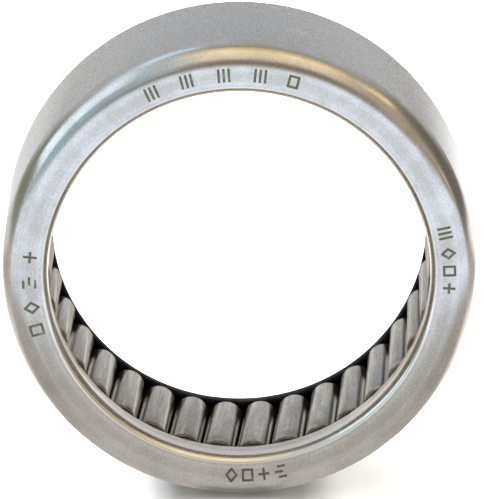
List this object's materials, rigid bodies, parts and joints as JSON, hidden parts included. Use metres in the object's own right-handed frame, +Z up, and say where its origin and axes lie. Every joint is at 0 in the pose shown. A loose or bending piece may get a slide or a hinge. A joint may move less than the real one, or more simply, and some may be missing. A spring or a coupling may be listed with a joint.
{
  "type": "needle roller bearing",
  "caption": "Drawn-cup needle roller bearing with a full complement of trunnion-ended rollers, which orbit and spin inside a thin steel cup.",
  "frame": {"origin": "centre of the bore, on the bearing's axis and half way between its two faces", "axes": "+Y along the bearing's axis from the marked face to the rear face, +Z up as the bearing stands on its rim, +X to the right as the marked face is seen"},
  "size_m": [0.0318, 0.0126, 0.0318],
  "materials": {
    "cup_steel": "satin grey hardened steel, drawn and barrel finished",
    "roller_steel": "ground steel under a thin film of oil"
  },
  "bodies": {
    "cup": {"drawn_cup": "cup_steel"},
    "complement": {"needle_roller_18": "roller_steel"},
    "roller_01": {"needle_roller_01": "roller_steel"},
    "roller_02": {"needle_roller_02": "roller_steel"},
    "roller_03": {"needle_roller_03": "roller_steel"},
    "roller_04": {"needle_roller_04": "roller_steel"},
    "roller_05": {"needle_roller_05": "roller_steel"},
    "roller_06": {"needle_roller_06": "roller_steel"},
    "roller_07": {"needle_roller_07": "roller_steel"},
    "roller_08": {"needle_roller_08": "roller_steel"},
    "roller_09": {"needle_roller_09": "roller_steel"},
    "roller_10": {"needle_roller_10": "roller_steel"},
    "roller_11": {"needle_roller_11": "roller_steel"},
    "roller_12": {"needle_roller_12": "roller_steel"},
    "roller_13": {"needle_roller_13": "roller_steel"},
    "roller_14": {"needle_roller_14": "roller_steel"},
    "roller_15": {"needle_roller_15": "roller_steel"},
    "roller_16": {"needle_roller_16": "roller_steel"},
    "roller_17": {"needle_roller_17": "roller_steel"},
    "roller_19": {"needle_roller_19": "roller_steel"},
    "roller_20": {"needle_roller_20": "roller_steel"},
    "roller_21": {"needle_roller_21": "roller_steel"},
    "roller_22": {"needle_roller_22": "roller_steel"},
    "roller_23": {"needle_roller_23": "roller_steel"},
    "roller_24": {"needle_roller_24": "roller_steel"},
    "roller_25": {"needle_roller_25": "roller_steel"},
    "roller_26": {"needle_roller_26": "roller_steel"},
    "roller_27": {"needle_roller_27": "roller_steel"},
    "roller_28": {"needle_roller_28": "roller_steel"},
    "roller_29": {"needle_roller_29": "roller_steel"},
    "roller_30": {"needle_roller_30": "roller_steel"},
    "roller_31": {"needle_roller_31": "roller_steel"},
    "roller_32": {"needle_roller_32": "roller_steel"},
    "roller_33": {"needle_roller_33": "roller_steel"},
    "roller_34": {"needle_roller_34": "roller_steel"},
    "roller_35": {"needle_roller_35": "roller_steel"},
    "roller_36": {"needle_roller_36": "roller_steel"}
  },
  "joints": [
    {"name": "complement_orbit", "type": "hinge", "parent": "cup", "child": "complement", "pos_m": [0, 0, 0], "axis": [0, 1, 0], "continuous": true},
    {"name": "spin_01", "type": "hinge", "parent": "complement", "child": "roller_01", "pos_m": [0.00121, 0.00089, -0.01385], "axis": [0.0764, 0.9971, 0.0067], "continuous": true},
    {"name": "spin_02", "type": "hinge", "parent": "complement", "child": "roller_02", "pos_m": [0.0036, 0.00089, -0.01343], "axis": [0.0741, 0.9971, 0.0199], "continuous": true},
    {"name": "spin_03", "type": "hinge", "parent": "complement", "child": "roller_03", "pos_m": [0.00587, 0.00089, -0.0126], "axis": [0.0695, 0.9971, 0.0324], "continuous": true},
    {"name": "spin_04", "type": "hinge", "parent": "complement", "child": "roller_04", "pos_m": [0.00797, 0.00089, -0.01139], "axis": [0.0628, 0.9971, 0.044], "continuous": true},
    {"name": "spin_05", "type": "hinge", "parent": "complement", "child": "roller_05", "pos_m": [0.00983, 0.00089, -0.00983], "axis": [0.0542, 0.9971, 0.0542], "continuous": true},
    {"name": "spin_06", "type": "hinge", "parent": "complement", "child": "roller_06", "pos_m": [0.01139, 0.00089, -0.00797], "axis": [0.044, 0.9971, 0.0628], "continuous": true},
    {"name": "spin_07", "type": "hinge", "parent": "complement", "child": "roller_07", "pos_m": [0.0126, 0.00089, -0.00587], "axis": [0.0324, 0.9971, 0.0695], "continuous": true},
    {"name": "spin_08", "type": "hinge", "parent": "complement", "child": "roller_08", "pos_m": [0.01343, 0.00089, -0.0036], "axis": [0.0199, 0.9971, 0.0741], "continuous": true},
    {"name": "spin_09", "type": "hinge", "parent": "complement", "child": "roller_09", "pos_m": [0.01385, 0.00089, -0.00121], "axis": [0.0067, 0.9971, 0.0764], "continuous": true},
    {"name": "spin_10", "type": "hinge", "parent": "complement", "child": "roller_10", "pos_m": [0.01385, 0.00089, 0.00121], "axis": [-0.0067, 0.9971, 0.0764], "continuous": true},
    {"name": "spin_11", "type": "hinge", "parent": "complement", "child": "roller_11", "pos_m": [0.01343, 0.00089, 0.0036], "axis": [-0.0199, 0.9971, 0.0741], "continuous": true},
    {"name": "spin_12", "type": "hinge", "parent": "complement", "child": "roller_12", "pos_m": [0.0126, 0.00089, 0.00587], "axis": [-0.0324, 0.9971, 0.0695], "continuous": true},
    {"name": "spin_13", "type": "hinge", "parent": "complement", "child": "roller_13", "pos_m": [0.01139, 0.00089, 0.00797], "axis": [-0.044, 0.9971, 0.0628], "continuous": true},
    {"name": "spin_14", "type": "hinge", "parent": "complement", "child": "roller_14", "pos_m": [0.00983, 0.00089, 0.00983], "axis": [-0.0542, 0.9971, 0.0542], "continuous": true},
    {"name": "spin_15", "type": "hinge", "parent": "complement", "child": "roller_15", "pos_m": [0.00797, 0.00089, 0.01139], "axis": [-0.0628, 0.9971, 0.044], "continuous": true},
    {"name": "spin_16", "type": "hinge", "parent": "complement", "child": "roller_16", "pos_m": [0.00587, 0.00089, 0.0126], "axis": [-0.0695, 0.9971, 0.0324], "continuous": true},
    {"name": "spin_17", "type": "hinge", "parent": "complement", "child": "roller_17", "pos_m": [0.0036, 0.00089, 0.01343], "axis": [-0.0741, 0.9971, 0.0199], "continuous": true},
    {"name": "spin_19", "type": "hinge", "parent": "complement", "child": "roller_19", "pos_m": [-0.00121, 0.00089, 0.01385], "axis": [-0.0764, 0.9971, -0.0067], "continuous": true},
    {"name": "spin_20", "type": "hinge", "parent": "complement", "child": "roller_20", "pos_m": [-0.0036, 0.00089, 0.01343], "axis": [-0.0741, 0.9971, -0.0199], "continuous": true},
    {"name": "spin_21", "type": "hinge", "parent": "complement", "child": "roller_21", "pos_m": [-0.00587, 0.00089, 0.0126], "axis": [-0.0695, 0.9971, -0.0324], "continuous": true},
    {"name": "spin_22", "type": "hinge", "parent": "complement", "child": "roller_22", "pos_m": [-0.00797, 0.00089, 0.01139], "axis": [-0.0628, 0.9971, -0.044], "continuous": true},
    {"name": "spin_23", "type": "hinge", "parent": "complement", "child": "roller_23", "pos_m": [-0.00983, 0.00089, 0.00983], "axis": [-0.0542, 0.9971, -0.0542], "continuous": true},
    {"name": "spin_24", "type": "hinge", "parent": "complement", "child": "roller_24", "pos_m": [-0.01139, 0.00089, 0.00797], "axis": [-0.044, 0.9971, -0.0628], "continuous": true},
    {"name": "spin_25", "type": "hinge", "parent": "complement", "child": "roller_25", "pos_m": [-0.0126, 0.00089, 0.00587], "axis": [-0.0324, 0.9971, -0.0695], "continuous": true},
    {"name": "spin_26", "type": "hinge", "parent": "complement", "child": "roller_26", "pos_m": [-0.01343, 0.00089, 0.0036], "axis": [-0.0199, 0.9971, -0.0741], "continuous": true},
    {"name": "spin_27", "type": "hinge", "parent": "complement", "child": "roller_27", "pos_m": [-0.01385, 0.00089, 0.00121], "axis": [-0.0067, 0.9971, -0.0764], "continuous": true},
    {"name": "spin_28", "type": "hinge", "parent": "complement", "child": "roller_28", "pos_m": [-0.01385, 0.00089, -0.00121], "axis": [0.0067, 0.9971, -0.0764], "continuous": true},
    {"name": "spin_29", "type": "hinge", "parent": "complement", "child": "roller_29", "pos_m": [-0.01343, 0.00089, -0.0036], "axis": [0.0199, 0.9971, -0.0741], "continuous": true},
    {"name": "spin_30", "type": "hinge", "parent": "complement", "child": "roller_30", "pos_m": [-0.0126, 0.00089, -0.00587], "axis": [0.0324, 0.9971, -0.0695], "continuous": true},
    {"name": "spin_31", "type": "hinge", "parent": "complement", "child": "roller_31", "pos_m": [-0.01139, 0.00089, -0.00797], "axis": [0.044, 0.9971, -0.0628], "continuous": true},
    {"name": "spin_32", "type": "hinge", "parent": "complement", "child": "roller_32", "pos_m": [-0.00983, 0.00089, -0.00983], "axis": [0.0542, 0.9971, -0.0542], "continuous": true},
    {"name": "spin_33", "type": "hinge", "parent": "complement", "child": "roller_33", "pos_m": [-0.00797, 0.00089, -0.01139], "axis": [0.0628, 0.9971, -0.044], "continuous": true},
    {"name": "spin_34", "type": "hinge", "parent": "complement", "child": "roller_34", "pos_m": [-0.00587, 0.00089, -0.0126], "axis": [0.0695, 0.9971, -0.0324], "continuous": true},
    {"name": "spin_35", "type": "hinge", "parent": "complement", "child": "roller_35", "pos_m": [-0.0036, 0.00089, -0.01343], "axis": [0.0741, 0.9971, -0.0199], "continuous": true},
    {"name": "spin_36", "type": "hinge", "parent": "complement", "child": "roller_36", "pos_m": [-0.00121, 0.00089, -0.01385], "axis": [0.0764, 0.9971, -0.0067], "continuous": true}
  ],
  "couplings": [
    {"joint": "spin_01", "follows": "complement_orbit", "ratio": -12.695},
    {"joint": "spin_02", "follows": "complement_orbit", "ratio": -12.695},
    {"joint": "spin_03", "follows": "complement_orbit", "ratio": -12.695},
    {"joint": "spin_04", "follows": "complement_orbit", "ratio": -12.695},
    {"joint": "spin_05", "follows": "complement_orbit", "ratio": -12.695},
    {"joint": "spin_06", "follows": "complement_orbit", "ratio": -12.695},
    {"joint": "spin_07", "follows": "complement_orbit", "ratio": -12.695},
    {"joint": "spin_08", "follows": "complement_orbit", "ratio": -12.695},
    {"joint": "spin_09", "follows": "complement_orbit", "ratio": -12.695},
    {"joint": "spin_10", "follows": "complement_orbit", "ratio": -12.695},
    {"joint": "spin_11", "follows": "complement_orbit", "ratio": -12.695},
    {"joint": "spin_12", "follows": "complement_orbit", "ratio": -12.695},
    {"joint": "spin_13", "follows": "complement_orbit", "ratio": -12.695},
    {"joint": "spin_14", "follows": "complement_orbit", "ratio": -12.695},
    {"joint": "spin_15", "follows": "complement_orbit", "ratio": -12.695},
    {"joint": "spin_16", "follows": "complement_orbit", "ratio": -12.695},
    {"joint": "spin_17", "follows": "complement_orbit", "ratio": -12.695},
    {"joint": "spin_19", "follows": "complement_orbit", "ratio": -12.695},
    {"joint": "spin_20", "follows": "complement_orbit", "ratio": -12.695},
    {"joint": "spin_21", "follows": "complement_orbit", "ratio": -12.695},
    {"joint": "spin_22", "follows": "complement_orbit", "ratio": -12.695},
    {"joint": "spin_23", "follows": "complement_orbit", "ratio": -12.695},
    {"joint": "spin_24", "follows": "complement_orbit", "ratio": -12.695},
    {"joint": "spin_25", "follows": "complement_orbit", "ratio": -12.695},
    {"joint": "spin_26", "follows": "complement_orbit", "ratio": -12.695},
    {"joint": "spin_27", "follows": "complement_orbit", "ratio": -12.695},
    {"joint": "spin_28", "follows": "complement_orbit", "ratio": -12.695},
    {"joint": "spin_29", "follows": "complement_orbit", "ratio": -12.695},
    {"joint": "spin_30", "follows": "complement_orbit", "ratio": -12.695},
    {"joint": "spin_31", "follows": "complement_orbit", "ratio": -12.695},
    {"joint": "spin_32", "follows": "complement_orbit", "ratio": -12.695},
    {"joint": "spin_33", "follows": "complement_orbit", "ratio": -12.695},
    {"joint": "spin_34", "follows": "complement_orbit", "ratio": -12.695},
    {"joint": "spin_35", "follows": "complement_orbit", "ratio": -12.695},
    {"joint": "spin_36", "follows": "complement_orbit", "ratio": -12.695}
  ]
}
